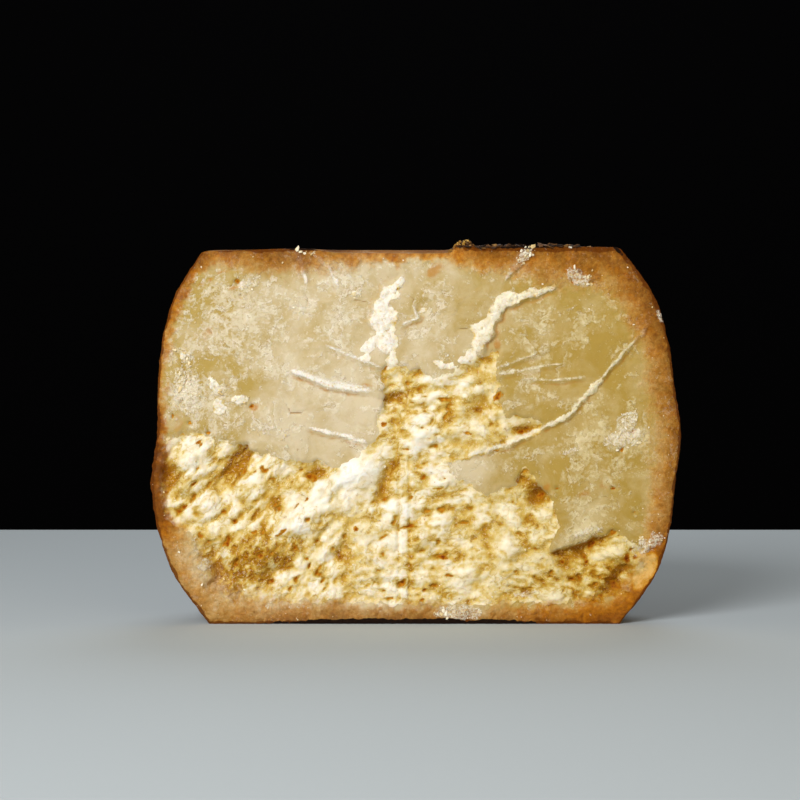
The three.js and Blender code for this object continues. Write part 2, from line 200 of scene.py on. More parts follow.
# Hollows of the tear painted amber, as painted shade for the light scattered in them.
amberShadePlaces = [
    (-57, 21, 22, 11, 35, 1.15), (-60, 53, 9, 6, 60, 0.9), (62, 16, 14, 11, 20, 0.4),
    (-8, 74, 5, 9, 90, 0.3), (16, 72, 6, 5, 40, 0.35), (36, 65.5, 8, 2.5, 8, 0.7),
    (43, 43, 6, 4, 60, 0.7), (-9, 46, 9, 3.2, 78, 0.55), (-33, 51, 6, 2.6, 5, 0.8),
    (-80, 46, 9, 4, 85, 0.5), (-1, 22, 14, 2, 90, 0.4), (13, 38, 9, 2, 0, 0.3),
    (66, 12, 7, 4, 40, 0.6), (54, 23, 12, 4, 20, 0.5), (28, 27, 10, 6, 0, 0.15),
    (-22, 22, 8, 4, 45, 0.35), (-62, 40, 8, 4, 50, 0.3), (27, 95, 3, 6, 80, 0.6),
]

# Lumps of the tear that catch the light, painted paler as painted highlight.
brightPlaces = [
    (-19, 50, 10, 8, 40, 0.8), (-38, 37, 18, 6, 40, 0.65), (-66, 56, 7, 5, 50, 0.5),
    (-30, 26, 12, 3, 40, 0.25), (10, 50, 12, 3, 15, 0.4), (16, 15, 8, 4, 38, 0.35),
    (4, 60, 10, 4, 0, 0.25), (-20, 12, 12, 3, 0, 0.25),
]

# What paints the tear amber as painted shade (below 0) or paler as painted highlight (above 0), next to
# random patches of tone, and how ripe the facets are; the riper right is partly painted shade.
tones = {
    "fine": 0.12, "coarse": 0.4, "patches": 0.42, "seam": 0.3, "holes": 0.8, "pits": -0.3,
    "sides": 0.35, "shadeAndStains": -0.6, "ripeMiddle": 0.36, "ripeAndShadedRight": 0.5, "ripeLeft": 0.6,
}

# Amber and brown stains on the facets, and at (28, 95) an amber painted shadow right of the ridge.
stainPlaces = [
    (-21, 122.3, 3.4, 2.4, 0, 1.1), (6.8, 119.8, 4, 3, 40, 1.2), (-6, 121, 1.6, 3, 0, 0.7),
    (28, 95, 1.8, 6, 0, 1), (-71, 115.5, 4, 1.1, 25, 1), (-61, 113.6, 3.4, 1.1, 5, 0.9),
    (-54.4, 73.2, 1.9, 1.6, 0, 1.2), (-30, 124.6, 9, 1.6, -3, 0.9), (-65, 119, 4, 1, 10, 0.7),
    (13, 122.5, 4, 2.4, 10, 0.8), (-70, 98, 5, 3, 60, 0.5), (83, 96, 8, 2.6, -60, 0.8),
    (-80, 66, 3, 6, 10, 0.7), (60, 119, 4, 2, -20, 0.6), (44, 46, 3, 2.2, 40, 0.9),
    (57, 44, 4, 1.6, 10, 0.6), (64, 47, 4, 2, -20, 0.5), (-15, 80.5, 5, 0.9, -6, 0.8),
]

# Where small dark holes gather, besides the tear as a whole, and single holes that stand out (these
# have no strength).
holePlaces = [
    (-58, 20, 24, 12, 35, 1), (5, 74, 14, 14, 0, 1), (62, 16, 14, 10, 30, 1),
    (18, 34, 24, 8, 0, 0.8), (-62, 50, 12, 10, 45, 0.5), (8, 28, 14, 14, 0, 0.4),
]
clearHoles = [
    (66.9, 30.9, 1.1, 0.8, 0), (60, 27, 2.2, 1.4, 60), (71.6, 22.4, 1.2, 2, 10),
    (50.3, 20.9, 1.4, 0.8, 0), (67.9, 12.7, 2.6, 1.5, -60), (63, 9.4, 1.2, 1, 0),
    (58.2, 20.6, 0.7, 0.9, 0), (-63.8, 26.9, 1.3, 1, 0), (-57.3, 22.5, 1.4, 0.8, 0),
    (-52, 23, 0.8, 1, 0), (-54.2, 31.1, 1.2, 0.7, 30), (42.8, 43.6, 1.8, 1.4, 60),
    (18, 64.4, 1.8, 0.7, -10), (28, 77, 2.2, 1.2, 40), (9.6, 22.6, 2, 0.8, -8),
    (36, 65, 1.6, 0.9, 10), (-10.6, 67.3, 1.2, 0.8, 40), (-35, 49.5, 2.4, 1.2, -20),
    (-45, 31, 2.4, 0.7, 35), (-20, 32, 1.1, 0.9, 0), (-59.8, 115.8, 1, 0.8, 20),
    (-58.8, 111, 0.6, 0.4, 0), (-55, 73.6, 1.2, 0.7, 20), (56, 118, 1.2, 0.5, 30),
    (60, 115, 1.3, 0.5, 60), (53.5, 115.5, 0.8, 0.5, 0), (74, 65, 1.2, 0.5, 20),
    (70, 59, 1, 0.5, 50), (66, 66, 0.8, 0.4, 0), (76, 61, 0.9, 0.4, 30), (-79, 75, 1, 0.4, 50),
    (-82, 70, 1.2, 0.5, 80), (-76, 68, 0.9, 0.5, 0), (-70, 64.6, 0.9, 0.5, 0),
    (80, 25, 1.4, 0.5, 40), (67, 46, 0.8, 0.5, 0), (74, 38, 0.7, 0.4, 0), (48, 46, 0.8, 0.4, 0),
]

# The rim of the cut: (direction from its middle in degrees, anticlockwise from the right, width of the
# band in mm, tone from 0 dark to 1 pale, share of orange, width of the brown edge in mm).
rimStretches = [
    (0, 10, 0.56, 0.3, 0.9), (19, 10, 0.52, 0.3, 0.9), (30, 12, 0.46, 0.55, 1.1),
    (41, 13, 0.46, 0.55, 1.2), (50, 12, 0.52, 0.5, 1.1), (65, 8, 0.54, 0.6, 0.9),
    (78, 5, 0.64, 0.8, 0.6), (90, 4, 0.7, 0.7, 0.4), (101, 4, 0.66, 0.6, 0.5),
    (112, 7, 0.56, 0.4, 0.8), (123, 9, 0.52, 0.35, 1.2), (136, 8, 0.5, 0.45, 1.1),
    (143, 4, 0.52, 0.8, 1), (150, 4, 0.5, 0.9, 1), (161, 3, 0.6, 0.5, 0.8),
    (172, 3, 0.55, 0.6, 0.8), (183, 5, 0.32, 1.5, 1.1), (190, 5, 0.24, 1.5, 1.3),
    (197, 5, 0.28, 1.3, 1.2), (206, 11, 0.8, 0.1, 0.9), (218, 12, 0.76, 0.15, 0.9),
    (237, 8, 0.58, 0.25, 1), (265, 6, 0.5, 0.2, 1.1), (290, 6, 0.56, 0.2, 1),
    (310, 7, 0.54, 0.8, 1), (319, 9, 0.5, 1.5, 0.7), (330, 8, 0.56, 1.3, 0.7),
    (341, 9, 0.64, 0.4, 0.8),
]

# Near-black or deep brown crust on the rim.
darkPlaces = [
    (-4, -0.4, 60, 2.9, 0, 1.3), (36, 128.6, 22, 2.2, 0, 1.3), (17, 129.4, 5, 2.6, 0, 0.7),
    (-37, 127, 9, 0.9, 0, 0.9), (69, 126, 6, 1.4, -45, 0.6), (-26, 126, 4, 1.2, 0, 0.6),
    (81, 12.6, 3, 1, 50, 0.6),
]

# Ragged dark crust along the top of the cut, and the curled scrap at its left end.
crust = {"from": 14, "to": 56, "height": 0.6, "scrapX": 16, "scrapHalfWidth": 4.2, "scrapHeight": 2.2}


def smooth(value, low, high):
    t = np.clip((value - low) / (high - low), 0, 1)
    return t * t * (3 - 2 * t)


# Repeatable noise from -1 to 1, with the same values as in the solid.
def noise(x, y, seed):
    column, row = np.floor(x).astype(np.int64), np.floor(y).astype(np.int64)
    across, up = x - column, y - row

    def slope(i, j):
        bits = ((column + i) * 374761393 + (row + j) * 668265263 + seed * 1442695041) & 0xFFFFFFFF
        bits = ((bits ^ (bits >> 13)) * 1274126177) & 0xFFFFFFFF
        angle = (bits ^ (bits >> 16)) / 4294967296 * 2 * np.pi
        return np.cos(angle) * (across - i) + np.sin(angle) * (up - j)

    easeAcross = across**3 * (across * (6 * across - 15) + 10)
    easeUp = up**3 * (up * (6 * up - 15) + 10)
    low = slope(0, 0) + (slope(1, 0) - slope(0, 0)) * easeAcross
    high = slope(0, 1) + (slope(1, 1) - slope(0, 1)) * easeAcross
    return 1.4 * (low + (high - low) * easeUp)


# Several noises added up: (amount, size across, size up, seed).
def layered(x, z, *layers):
    return sum(amount * noise(x / across, z / up, seed) for amount, across, up, seed in layers)


# Value at a height, on a smooth curve through evenly spaced stations.
def atHeight(stations, height):
    padded = [2 * stations[0] - stations[1], *stations, 2 * stations[-1] - stations[-2]]
    padded = np.array(padded, float)
    place = np.clip(np.asarray(height, float) / wheel["stationGap"], 0, len(stations) - 1.001)
    i = np.floor(place).astype(int)
    t = place - i
    before, start, end, after = (padded[i + n] for n in range(4))
    startSlope, endSlope, change = (end - before) / 2, (after - start) / 2, end - start
    return start + t * (startSlope + t * (3 * change - 2 * startSlope - endSlope
                                          + t * (startSlope + endSlope - 2 * change)))


# Distance to a path, the side (positive to its right), and the share of the path passed there.
def nearestOnPath(path, x, z, closed=False):
    ends = path[1:] + path[:1] if closed else path[1:]
    distance = np.full(x.shape, 1e9)
    side, share = np.ones(x.shape), np.zeros(x.shape)
    for i, ((startX, startZ), (endX, endZ)) in enumerate(zip(path, ends)):
        runX, runZ = endX - startX, endZ - startZ
        t = np.clip(((x - startX) * runX + (z - startZ) * runZ) / (runX**2 + runZ**2), 0, 1)
        offX, offZ = x - startX - t * runX, z - startZ - t * runZ
        here = np.hypot(offX, offZ)
        nearer = here < distance
        distance = np.where(nearer, here, distance)
        side = np.where(nearer, np.where(runZ * offX - runX * offZ < 0, -1, 1), side)
        share = np.where(nearer, (i + t) / len(ends), share)
    return distance, side, share


def isInside(outline, x, z):
    inside = np.zeros(x.shape, bool)
    for (x1, z1), (x2, z2) in zip(outline, outline[1:] + outline[:1]):
        if z1 != z2:
            inside ^= ((z1 > z) != (z2 > z)) & (x < x1 + (z - z1) / (z2 - z1) * (x2 - x1))
    return inside


# A long, soft-edged spot: 1 in its middle, nothing outside.
def spot(place, x, z):
    middleX, middleZ, length, width, degrees = place[:5]
    turn = math.radians(degrees)
    along = ((x - middleX) * math.cos(turn) + (z - middleZ) * math.sin(turn)) / length
    over = ((z - middleZ) * math.cos(turn) - (x - middleX) * math.sin(turn)) / width
    return np.exp(-1.6 * (along * along + over * over))


# The strongest of many spots at each place.
def strongest(places, x, z):
    return np.maximum.reduce([place[5] * spot(place, x, z) for place in places])


# Many spots added up, each by its own strength.
def heaped(places, x, z):
    return sum(place[5] * spot(place, x, z) for place in places)


# Lumps with creases between them, along the grain of the tear.
def lumps(x, z, size, stretch, seed, creased=True):
    left, right = smooth(-x, 5, 35), smooth(x, 5, 40)
    total = np.zeros(x.shape)
    grains = ((left, "leftGrain", 0), (1 - left - right, "middleGrain", 20), (right, "rightGrain", 40))
    for share, direction, offset in grains:
        turn = math.radians(tear[direction])
        along = x * math.cos(turn) + z * math.sin(turn)
        over = z * math.cos(turn) - x * math.sin(turn)
        grain = noise(along / (size * stretch), over / size, seed + offset)
        total += share * (np.abs(grain) if creased else grain)
    return total


relief = {"step": 0.4, "left": -94, "right": 94, "low": -3, "high": 132}
gridX, gridZ = np.meshgrid(np.arange(relief["left"], relief["right"], relief["step"]),
                           np.arange(relief["low"], relief["high"], relief["step"]))


# Averages a field over about the given distance.
def blurred(field, radius):
    cells = int(3 * radius / relief["step"])
    weights = np.exp(-0.5 * (np.arange(-cells, cells + 1) * relief["step"] / radius) ** 2)
    weights /= weights.sum()
    for axis in (0, 1):
        padding = [(cells, cells) if a == axis else (0, 0) for a in (0, 1)]
        padded = np.pad(field, padding, mode="edge")
        field = sum(w * np.take(padded, range(n, n + field.shape[axis]), axis)
                    for n, w in enumerate(weights))
    return field


# Distance from the cut's outline, inwards, allowing for the slope of the wheel's side.
def rimDistance(x, z):
    gaps = []
    for profile, sign in ((wheel["leftProfile"], -1), (wheel["rightProfile"], 1)):
        slope = (atHeight(profile, z + 1) - atHeight(profile, z - 1)) / 2
        gaps.append((atHeight(profile, z) - sign * x) / np.sqrt(1 + slope**2))
    gaps += [z, wheel["height"] - z]
    return np.minimum.reduce(gaps)


# How far each place lies inside the torn part, from 0 to 1.
def tornShare(x, z, rim):
    ragged = layered(x, z, (1.8, 6, 6, 3), (1.3, 2.4, 2.4, 41), (0.5, 1.1, 1.1, 42))
    distance = nearestOnPath(tear["outline"], x, z, closed=True)[0]
    inwards = np.where(isInside(tear["outline"], x, z), distance, -distance) + ragged
    soft = tear["edgeWidth"] + 1.2 * noise(x / 15, z / 15, 40) + heaped(tear["softEdges"], x, z)
    torn = smooth(inwards, -soft, soft)
    return torn * smooth(rim + 0.6 * ragged, 0.3 * tear["rindBand"], tear["rindBand"])


# Depth of the knife's facets; white and broken shares on their steps; painted shade at their feet;
# stains.
def facetRelief(x, z):
    level = layered(x, z, (0.7, 34, 34, 8), (0.2, 10, 14, 9), (0.09, 3.4, 2.6, 28), (0.05, 1.4, 1.2, 29))
    white, broken, shadeAndStains = (np.zeros(x.shape) for _ in range(3))
    roughX = x + 0.9 * noise(x / 4, z / 4, 31) + 0.45 * noise(x / 1.7, z / 1.7, 32)
    roughZ = z + 0.9 * noise(x / 4, z / 4, 33) + 0.45 * noise(x / 1.7, z / 1.7, 34)
    for path, lowSide, drop, reach, startWidth, endWidth, lip, whiteness, crumbly in facetEdges:
        uneven = 0.25 + 0.75 * crumbly
        nearX, nearZ = x + uneven * (roughX - x), z + uneven * (roughZ - z)
        distance, side, share = nearestOnPath(path, nearX, nearZ)
        taper = smooth(np.minimum(share, 1 - share), 0, edgeLook["taper"])
        past = distance * side * lowSide
        halfWidth = 0.5 * (startWidth + (endWidth - startWidth) * share) * np.sqrt(taper)
        halfWidth *= 1 + (0.1 + 0.7 * crumbly) * noise(share * 9, share * 0, 38)
        fallen = smooth(past, halfWidth + 0.2, halfWidth + edgeLook["stepEnd"])
        remaining = np.exp(-np.maximum(0, past - halfWidth) / reach)
        fade = np.where(past < 0, edgeLook["fadeAbove"], edgeLook["fadeBelow"])
        strip = np.clip(1 - fade * np.abs(past) / (halfWidth + 0.2), 0, 1)
        standing = smooth(strip, 0.3, 0.9) * crumbly * (0.4 + 1.5 * np.abs(noise(x / 1.9, z / 1.9, 35)))
        level += taper * (drop * fallen * remaining - lip * standing)
        thick = 0.95 + (0.1 + 0.5 * crumbly) * noise(x / 2.6, z / 2.6, 39)
        thick += 0.5 * crumbly * noise(x / 1.3, z / 1.3, 91)
        shown = whiteness * (1 - 0.22 * crumbly)
        white = np.maximum(white, shown * strip * np.sqrt(taper) * np.clip(thick, 0, 1.1))
        broken = np.maximum(broken, crumbly * smooth(strip, 0.4, 0.6) * taper)
        # Painted shade: an amber line at the foot of each step, on its low side.
        foot = np.exp(-(((past - halfWidth - edgeLook["shadeAt"]) / edgeLook["shadeWidth"]) ** 2)) * taper
        shadeAndStains = np.maximum(shadeAndStains, min(1, 0.6 * drop) * foot)
    for lump in facetLumps:
        here = spot(lump, roughX, roughZ) * (1 + 0.8 * noise(x / 2.2, z / 2.2, 86))
        level -= 0.6 * lump[5] * smooth(here, 0.15, 0.95)
        white = np.maximum(white, 0.55 * smooth(here, 0.1, 0.7))
        broken = np.maximum(broken, 0.8 * smooth(here, 0.3, 0.5))
    level -= broken * (0.4 * lumps(x, z, 2.4, 1.2, 36) + 0.6 * lumps(x, z, 1.2, 1, 37) - 0.25)
    stains = strongest(stainPlaces, x, z) * (0.8 + layered(x, z, (0.5, 3, 3, 55), (0.3, 1.2, 1.2, 83)))
    shadeAndStains = np.maximum(shadeAndStains, np.clip(stains, 0, 1.2))
    return level, white, broken, shadeAndStains


# Depth of the torn crumb, and its small dark holes, drawn out along the grain.
def crumbRelief(x, z, torn):
    calm = strongest(tear["smoothPlaces"], x, z)
    bodies = [rise * (0.3 - lumps(x, z, size, longer, seed))
              for size, longer, seed, rise in tear["lumpSizes"]]
    crumb = tear["depth"] + sum(bodies) * (1 - calm)
    crumb += heaped(tear["hollows"], x, z) - heaped(tear["mounds"], x, z)
    closed = sum(share * lumps(x, z, size, longer, seed, False)
                 for size, longer, seed, share in tear["holes"])
    steps = (bodies[0] + bodies[1]) / tear["ledge"] + 0.8 * noise(x / 5, z / 5, 49) + 1.3 * closed
    whole = np.floor(steps)
    crumb += 0.45 * tear["ledge"] * (whole + smooth(steps - whole, 0.35, 0.65) - steps)
    crumb += 0.05 * noise(x / 0.9, z / 0.9, 45)
    size, longer, seed, rise = tear["fibre"]
    crumb -= rise * (0.3 - lumps(x, z, size, longer, seed))

    seam = tear["seam"]
    off = np.abs(x - seam["x"] - 0.5 * noise(z / 9, z * 0, 47) - 0.25 * noise(z / 2.2, z * 0, 48))
    along = smooth(seam["top"] - z, 0, 6) * smooth(z, 6, 9)
    along = along * (0.6 + 0.5 * noise(x * 0, z / 13, 58))
    strip = (1 - smooth(off, seam["halfWidth"] - 0.5, seam["halfWidth"])) * along
    gap = np.exp(-(((off - seam["halfWidth"] - 0.2) / seam["gap"]) ** 2)) * along
    crumb += seam["share"] * strip * (blurred(crumb, 3) - 0.3 - crumb) + seam["gapDepth"] * gap

    solid = crumb.copy()
    level = tear["holeLevel"] - 0.16 * strongest(holePlaces, x, z) + 0.14 * strongest(brightPlaces, x, z)
    pit = torn * np.clip(0.5 - 1.3 * (closed + level), 0, 1.1)
    crumb += tear["holeDepth"] * smooth(pit, 0.3, 0.9)
    for middleX, middleZ, length, width, degrees in clearHoles:
        row = int((middleZ - relief["low"]) / relief["step"])
        column = int((middleX - relief["left"]) / relief["step"])
        near = (slice(max(0, row - 16), row + 16), slice(max(0, column - 16), column + 16))
        nearX, nearZ = x[near], z[near]
        roughX = nearX + 0.6 * noise(nearX / 1.5, nearZ / 1.5, 84)
        roughZ = nearZ + 0.5 * noise(nearX / 1.2, nearZ / 1.2, 85)
        here = spot((middleX, middleZ, 1.4 * length, 1.4 * width, degrees), roughX, roughZ)
        here *= 1 + 0.5 * noise(nearX / 0.9, nearZ / 0.9, 90)
        pit[near] = np.maximum(pit[near], np.minimum(1.05, here))
    return crumb, solid, closed, pit, strip - 0.8 * gap, steps + 0.5


# Works out the depth of the cut behind the knife's plane, and how each place is finished.
def makeRelief(x, z):
    rim = rimDistance(x, z)
    torn = tornShare(x, z, rim)
    level, white, broken, shadeAndStains = facetRelief(x, z)
    rough = np.maximum(torn, 0.9 * broken)
    crumb, solid, closed, pit, seam, ledge = crumbRelief(x, z, rough)

    # Painted shade and highlight, in the tear and on broken edges: hollows amber, lumps paler; plus
    # random tone.
    height = -(solid * smooth(torn + 0.5, 0, 1)) - level
    fine = (height - blurred(height, 1.2)) / 0.55
    coarse = (height - blurred(height, 4.5)) / 1.8
    patches = layered(x, z, (1, 14, 11, 80), (1, 7, 5, 81), (0.5, 3.5, 3, 82))
    shadeAndTone = tones["fine"] * fine + tones["coarse"] * coarse + tones["patches"] * patches
    # White broken edges read paler; the seam's strip is painted paler and the gap beside it amber, as
    # painted shade.
    shadeAndTone += white * broken + tones["seam"] * seam
    gathered = 0.5 * noise(x / 12, z / 9, 87) + 0.7 * strongest(holePlaces, x, z)
    shadeAndTone += (tones["holes"] + gathered) * closed + tones["pits"] * blurred(smooth(pit, 0.2, 0.8), 0.8)
    # Painted shade and highlight: sides turned away from the light are painted amber, sides facing it
    # paler.
    up, right = np.gradient(blurred(-height, 0.7), relief["step"])
    shadeAndTone += tones["sides"] * np.clip(0.6 * up - 0.5 * right, -1, 0.6)
    shadeAndTone += heaped(brightPlaces, x, z) - heaped(amberShadePlaces, x, z) + tones["shadeAndStains"] * shadeAndStains
    # The right is riper, and also painted darker as painted shade for the light falling off to the right.
    ripe = tones["ripeMiddle"] + tones["ripeAndShadedRight"] * smooth(x, -10, 45)
    ripe += tones["ripeLeft"] * smooth(-x, 40, 70) + heaped(ripePlaces, x, z)
    flaky = strongest(flakyPlaces, x, z) * (1 + 0.5 * noise(x / 9, z / 9, 88))

    grains = 0.5 + layered(x, z, (0.5, 2.2, 2.2, 51), (0.35, 0.9, 0.9, 52))
    chalk = smooth(strongest(chalkPlaces, x, z) * (0.55 + 0.75 * grains), 0.32, 0.8)
    crumbled = chalk * (1 - torn)
    level -= crumbled * (0.6 * lumps(x, z, 2.4, 1, 53) + 0.5 * lumps(x, z, 1.2, 1, 54) - 0.3)

    roughX, roughZ = x + 0.5 * noise(x / 2, z / 2, 56), z + 0.5 * noise(x / 2, z / 2, 57)
    crack = np.zeros(x.shape)
    for path, strength in cracks:
        distance, _, share = nearestOnPath(path, roughX, roughZ)
        ends = smooth(np.minimum(share, 1 - share), -0.02, 0.15)
        crack = np.maximum(crack, strength * np.exp(-((distance / 0.35) ** 2)) * ends)
    crack *= 1 - torn

    # The rim's band and brown edge change all the way round.
    direction = np.degrees(np.arctan2(z - wheel["height"] / 2, x))
    directions, *stretches = np.array(rimStretches).T
    width, tone, orange, edge = (np.interp(direction, directions, values, period=360)
                                 for values in stretches)
    ragged = layered(x, z, (1.6, 5, 5, 71), (1, 2, 2, 72), (0.6, 1, 1, 73))
    inner = (rim + 1.2 * ragged + 1.4 * noise(x / 13, z / 13, 76)) / width
    band = 1 - smooth(inner, 0.3, 1.5)
    chip = spot(tear["chip"], x, z)
    chipped = smooth(chip, 0.3, 0.5)
    tone = tone + 0.45 * np.clip(inner, 0, 1.2) - 0.2 + 0.4 * chipped
    edge = 1 - smooth(rim + 0.35 * ragged, 0.4 * edge, 1.4 * edge)
    dark = smooth(strongest(darkPlaces, x, z) * (1 + 0.25 * ragged), 0.3, 0.62)

    depth = level + torn * crumb + tear["holeDepth"] * (1 - torn) * pit + 0.5 * crack
    depth += tear["chip"][5] * chip + 0.8 * np.exp(-rim / 1.5)
    knobs = 0.5 * np.abs(noise(x / 1.5, z / 1.5, 74)) + 0.7 * np.abs(noise(x / 3, z / 3, 75))
    depth -= band * (knobs - 0.3)
    return {
        "depth": depth, "torn": rough, "shadeAndTone": np.clip(shadeAndTone, -1, 1), "ledge": ledge,
        "flaky": flaky, "chalk": chalk, "white": white, "pit": pit, "ripe": ripe,
        "shadeAndStains": shadeAndStains * (1 - torn), "crack": crack, "band": band, "tone": tone,
        "orange": orange + 0.4 * chipped, "edge": edge, "dark": dark,
    }


finishFields = ("torn", "shadeAndTone", "ledge", "flaky", "chalk", "white", "pit", "ripe", "shadeAndStains", "crack",
                "band", "tone", "orange", "edge", "dark")


# Reads a field of the relief at given places.
def reliefAt(name, x, z):
    column = np.clip((x - relief["left"]) / relief["step"], 0, relief[name].shape[1] - 2)
    row = np.clip((z - relief["low"]) / relief["step"], 0, relief[name].shape[0] - 2)
    i, j = column.astype(int), row.astype(int)
    across, up = column - i, row - j
    field = relief[name]
    low = field[j, i] * (1 - across) + field[j, i + 1] * across
    high = field[j + 1, i] * (1 - across) + field[j + 1, i + 1] * across
    return low * (1 - up) + high * up


# How far the top edge stands above or below the wheel's height.
def topOffset(x):
    offset = np.full(np.shape(x), wheel["topEdge"][0][1], float)
    for (x1, low), (x2, high) in zip(wheel["topEdge"], wheel["topEdge"][1:]):
        offset = np.where(x >= x1, low + (high - low) * smooth(x, x1, x2), offset)
    return offset


# Height of the ragged crust above the top edge.
def crustHeight(x):
    along = smooth(x, crust["from"], crust["from"] + 3) * smooth(crust["to"] - x, 0, 3)
    lump = np.maximum(0, 1 - ((x - crust["scrapX"]) / crust["scrapHalfWidth"]) ** 2)
    ragged = 0.5 + 0.9 * np.abs(noise(x / 4.5, x * 0 + 0.5, 11)) + 0.5 * noise(x / 1.1, x * 0, 12)
    curled = crust["scrapHeight"] * (1 + 0.25 * noise(x / 1.2, x * 0, 13))
    return along * crust["height"] * ragged + lump * curled


# The cheese's outline at one height: along the cut, then back round the rind.
def outlineAt(height):
    total = wheel["height"]
    corner = max(0, height - total + wheel["cornerRadius"])
    rounded = wheel["cornerRadius"] - math.sqrt(wheel["cornerRadius"] ** 2 - corner**2)
    inside = min(1, height / 3, (total - height) / 3)

    def wobble(side):
        where = np.array([height])
        row = side * 7 + where * 0
        rough = 0.6 * noise(where / 5, row, 61) + 0.35 * noise(where / 1.6, row, 62)
        rise = (height - wheel["roughMiddle"]) / wheel["roughReach"]
        extra = wheel["roughSide"] * math.exp(-(rise**2)) if side < 0 else 0
        return wheel["rimWobble"] * (1 + extra) * float(rough[0]) * inside

    left = atHeight(wheel["leftProfile"], height) - rounded
    right = atHeight(wheel["rightProfile"], height) - rounded
    leftRim, rightRim = left + wobble(-1), right + wobble(1)
    lift = float(smooth(np.array(height), 0.75 * total, total))
    x = np.linspace(-leftRim, rightRim, wheel["faceColumns"] + 1)
    crest = crustHeight(x) if height > total - 0.1 else 0 * x
    depth = reliefAt("depth", x, np.full(x.shape, height))
    cut = np.stack([x, depth, height + lift * topOffset(x) + crest], 1)

    turn = np.linspace(0, math.pi, wheel["rindColumns"] + 1)[1:-1]
    uneven = sum(amount * noise(turn * often, turn * 0 + height / tall, seed)
                 for amount, often, tall, seed in wheel["rindBumps"])
    firm = min(1, height / 6, (total - height) / 6) * np.sin(turn) ** 0.5
    radius = right + (left - right) * smooth(turn, 0, math.pi) + firm * uneven
    radius += (rightRim - right) * np.exp(-turn / 0.06)
    radius += (leftRim - left) * np.exp((turn - math.pi) / 0.06)
    x = radius * np.cos(turn)
    back = np.stack([x, radius * np.sin(turn), height + lift * topOffset(x)], 1)
    return np.concatenate([cut, back])


# Smaller copies of an outline, towards the middle of the flat face at its height.
def ringsInside(outline, middle):
    return [(outline - middle) * [share, share, share**18] + middle for share in wheel["capRings"]]


def makeCheeseMesh():
    share = np.linspace(0, 1, wheel["rows"] + 1)
    heights = wheel["height"] * (share - wheel["rowCrowding"] * np.sin(2 * np.pi * share))
    sides = [outlineAt(float(height)) for height in heights]
    capDepth = wheel["capMiddle"] * wheel["leftProfile"][0]
    baseMiddle, topMiddle = np.array([0, capDepth, 0]), np.array([0, capDepth, wheel["height"]])
    outlines = ringsInside(sides[0], baseMiddle)[::-1] + sides + ringsInside(sides[-1], topMiddle)
    points = np.concatenate([[baseMiddle], *outlines, [topMiddle]])
    count, rows, last = len(sides[0]), len(outlines), len(points) - 1
    below = 1 + np.arange(count)
    nextBelow = np.roll(below, -1)
    faces = [(0, b, a) for a, b in zip(below, nextBelow)]
    for row in range(rows - 1):
        low, nextLow = below + row * count, nextBelow + row * count
        faces += list(zip(low, nextLow, nextLow + count, low + count))
    top = (rows - 1) * count
    faces += [(last, a + top, b + top) for a, b in zip(below, nextBelow)]

    mesh = bpy.data.meshes.new("cheeseChunk")
    mesh.from_pydata([tuple(p) for p in points], [], [tuple(int(i) for i in f) for f in faces])
    mesh.update()

    # How each point is finished.
    rowOf = np.repeat(np.arange(rows), count)
    columnOf = np.tile(np.arange(count), rows)
    rings = len(wheel["capRings"])
    onCap = (rowOf < rings) | (rowOf >= rows - rings)
    onCut = (columnOf <= wheel["faceColumns"]) & ~onCap
    skin = np.concatenate([[1], np.where(onCut, 0, 1), [1]]).astype(float)
    x, z = points[:, 0], points[:, 2]
    fields = {"skin": skin}
    for name in finishFields:
        fields[name] = np.where(skin > 0, 0, reliefAt(name, x, z))
    for name, values in fields.items():
        layer = mesh.attributes.new(name, "FLOAT", "POINT")
        layer.data.foreach_set("value", values.astype(np.float32))
    return mesh, points


# Lays the mesh out for baking: the cut large along the foot, the rind and the two flat faces above it.
def layOutForBaking(mesh, points):
    count = wheel["faceColumns"] + wheel["rindColumns"]
    rows = wheel["rows"] + 1
    rings = len(wheel["capRings"])
    layer = mesh.uv_layers.new(name="OFBake")
    corners = np.zeros(len(mesh.loops), int)
    mesh.loops.foreach_get("vertex_index", corners)
    x, y, z = (points[corners, axis] for axis in range(3))
    loopFace = np.zeros(len(mesh.loops), int)
    for polygon in mesh.polygons:
        loopFace[polygon.loop_start:polygon.loop_start + polygon.loop_total] = polygon.index
    bodyFaces = (rows - 1 + 2 * rings) * count
    row, column = np.divmod(loopFace - count, count)
    isBody = (loopFace >= count) & (loopFace < count + bodyFaces)
    isCap = ~isBody | (row < rings) | (row >= rows - 1 + rings)
    isTop = (loopFace >= count + bodyFaces) | (isBody & (row >= rows - 1 + rings))
    isCut = ~isCap & (column < wheel["faceColumns"])
    isRind = ~isCap & ~isCut
    arc = np.arctan2(np.maximum(y, 0), x) * wheel["middleRadius"]
    uv = np.zeros((len(corners), 2), np.float32)
    # (which corners, across and up in mm, mm for the picture's whole width, left and low end)
    layout = (
        (isCut, x + 94, z + 2, 190, 0.0, 0.0),
        (isRind, arc + 2, z, 500, 0.005, 0.71),
        (isCap & ~isTop, x + 73, y, 500, 0.62, 0.71),
        (isCap & isTop, x + 73, y, 500, 0.62, 0.856),
    )
    for here, across, up, span, left, low in layout:
        uv[here, 0] = left + across[here] / span
        uv[here, 1] = low + up[here] / span
    layer.data.foreach_set("uv", uv.ravel())
    mesh.uv_layers.active = layer


def fromScreen(red, green, blue):
    channel = lambda v: v / 12.92 if v <= 0.04045 else ((v + 0.055) / 1.055) ** 2.4
    return tuple(channel(v / 255) for v in (red, green, blue)) + (1.0,)


